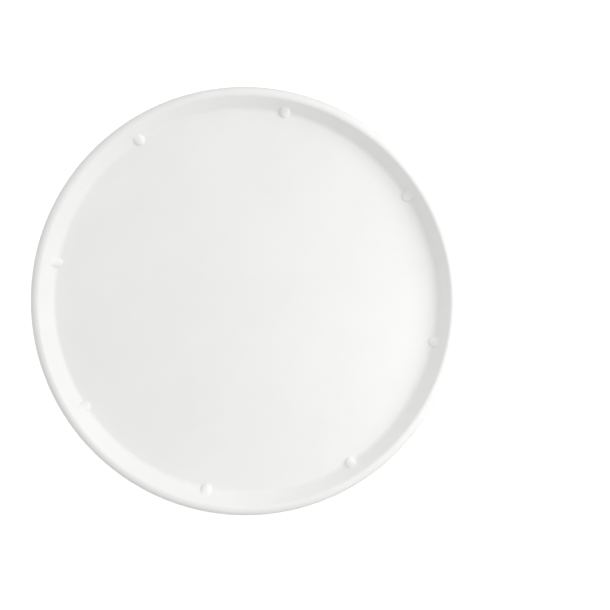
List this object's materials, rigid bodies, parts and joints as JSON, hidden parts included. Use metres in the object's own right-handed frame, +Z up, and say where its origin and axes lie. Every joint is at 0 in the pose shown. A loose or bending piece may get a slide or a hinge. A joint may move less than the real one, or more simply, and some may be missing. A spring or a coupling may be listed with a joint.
{
  "type": "lazy susan turntable",
  "caption": "Round rimmed plastic tray that turns freely on a ball race over a smaller base with rubber feet.",
  "frame": {"origin": "centre of the circle of feet, on the surface that the feet stand on", "axes": "+Z up along the axis that the tray turns about, +X through the first foot and the first pip"},
  "size_m": [0.3556, 0.3556, 0.0355],
  "materials": {
    "tray_plastic": "satin injection-moulded polypropylene",
    "base_plastic": "matt injection-moulded polypropylene",
    "cage_plastic": "satin moulded acetal",
    "ball_steel": "ground and polished bearing steel",
    "zinc_steel": "bright zinc plated",
    "foot_rubber": "matt moulded rubber"
  },
  "bodies": {
    "base": {"base": "base_plastic", "foot_1": "foot_rubber", "foot_2": "foot_rubber", "foot_3": "foot_rubber", "foot_4": "foot_rubber", "foot_5": "foot_rubber", "foot_6": "foot_rubber"},
    "tray": {"tray": "tray_plastic", "pivot_screw": "zinc_steel", "retaining_washer": "zinc_steel"},
    "ball_cage": {"ball_cage": "cage_plastic"},
    "ball_01": {"ball_01": "ball_steel"},
    "ball_02": {"ball_02": "ball_steel"},
    "ball_03": {"ball_03": "ball_steel"},
    "ball_04": {"ball_04": "ball_steel"},
    "ball_05": {"ball_05": "ball_steel"},
    "ball_06": {"ball_06": "ball_steel"},
    "ball_07": {"ball_07": "ball_steel"},
    "ball_08": {"ball_08": "ball_steel"},
    "ball_09": {"ball_09": "ball_steel"},
    "ball_10": {"ball_10": "ball_steel"},
    "ball_11": {"ball_11": "ball_steel"},
    "ball_12": {"ball_12": "ball_steel"}
  },
  "joints": [
    {"name": "tray_spin", "type": "hinge", "parent": "base", "child": "tray", "pos_m": [0, 0, 0.0136], "axis": [0, 0, 1], "continuous": true},
    {"name": "cage_spin", "type": "hinge", "parent": "base", "child": "ball_cage", "pos_m": [0, 0, 0.0136], "axis": [0, 0, 1], "continuous": true},
    {"name": "ball_01_roll", "type": "hinge", "parent": "ball_cage", "child": "ball_01", "pos_m": [0.07727, 0.02071, 0.0136], "axis": [0.9659, 0.2588, 0], "continuous": true},
    {"name": "ball_02_roll", "type": "hinge", "parent": "ball_cage", "child": "ball_02", "pos_m": [0.05657, 0.05657, 0.0136], "axis": [0.7071, 0.7071, 0], "continuous": true},
    {"name": "ball_03_roll", "type": "hinge", "parent": "ball_cage", "child": "ball_03", "pos_m": [0.02071, 0.07727, 0.0136], "axis": [0.2588, 0.9659, 0], "continuous": true},
    {"name": "ball_04_roll", "type": "hinge", "parent": "ball_cage", "child": "ball_04", "pos_m": [-0.02071, 0.07727, 0.0136], "axis": [-0.2588, 0.9659, 0], "continuous": true},
    {"name": "ball_05_roll", "type": "hinge", "parent": "ball_cage", "child": "ball_05", "pos_m": [-0.05657, 0.05657, 0.0136], "axis": [-0.7071, 0.7071, 0], "continuous": true},
    {"name": "ball_06_roll", "type": "hinge", "parent": "ball_cage", "child": "ball_06", "pos_m": [-0.07727, 0.02071, 0.0136], "axis": [-0.9659, 0.2588, 0], "continuous": true},
    {"name": "ball_07_roll", "type": "hinge", "parent": "ball_cage", "child": "ball_07", "pos_m": [-0.07727, -0.02071, 0.0136], "axis": [-0.9659, -0.2588, 0], "continuous": true},
    {"name": "ball_08_roll", "type": "hinge", "parent": "ball_cage", "child": "ball_08", "pos_m": [-0.05657, -0.05657, 0.0136], "axis": [-0.7071, -0.7071, 0], "continuous": true},
    {"name": "ball_09_roll", "type": "hinge", "parent": "ball_cage", "child": "ball_09", "pos_m": [-0.02071, -0.07727, 0.0136], "axis": [-0.2588, -0.9659, 0], "continuous": true},
    {"name": "ball_10_roll", "type": "hinge", "parent": "ball_cage", "child": "ball_10", "pos_m": [0.02071, -0.07727, 0.0136], "axis": [0.2588, -0.9659, 0], "continuous": true},
    {"name": "ball_11_roll", "type": "hinge", "parent": "ball_cage", "child": "ball_11", "pos_m": [0.05657, -0.05657, 0.0136], "axis": [0.7071, -0.7071, 0], "continuous": true},
    {"name": "ball_12_roll", "type": "hinge", "parent": "ball_cage", "child": "ball_12", "pos_m": [0.07727, -0.02071, 0.0136], "axis": [0.9659, -0.2588, 0], "continuous": true}
  ],
  "couplings": [
    {"joint": "cage_spin", "follows": "tray_spin", "ratio": 0.5},
    {"joint": "ball_01_roll", "follows": "tray_spin", "ratio": -10},
    {"joint": "ball_02_roll", "follows": "tray_spin", "ratio": -10},
    {"joint": "ball_03_roll", "follows": "tray_spin", "ratio": -10},
    {"joint": "ball_04_roll", "follows": "tray_spin", "ratio": -10},
    {"joint": "ball_05_roll", "follows": "tray_spin", "ratio": -10},
    {"joint": "ball_06_roll", "follows": "tray_spin", "ratio": -10},
    {"joint": "ball_07_roll", "follows": "tray_spin", "ratio": -10},
    {"joint": "ball_08_roll", "follows": "tray_spin", "ratio": -10},
    {"joint": "ball_09_roll", "follows": "tray_spin", "ratio": -10},
    {"joint": "ball_10_roll", "follows": "tray_spin", "ratio": -10},
    {"joint": "ball_11_roll", "follows": "tray_spin", "ratio": -10},
    {"joint": "ball_12_roll", "follows": "tray_spin", "ratio": -10}
  ]
}
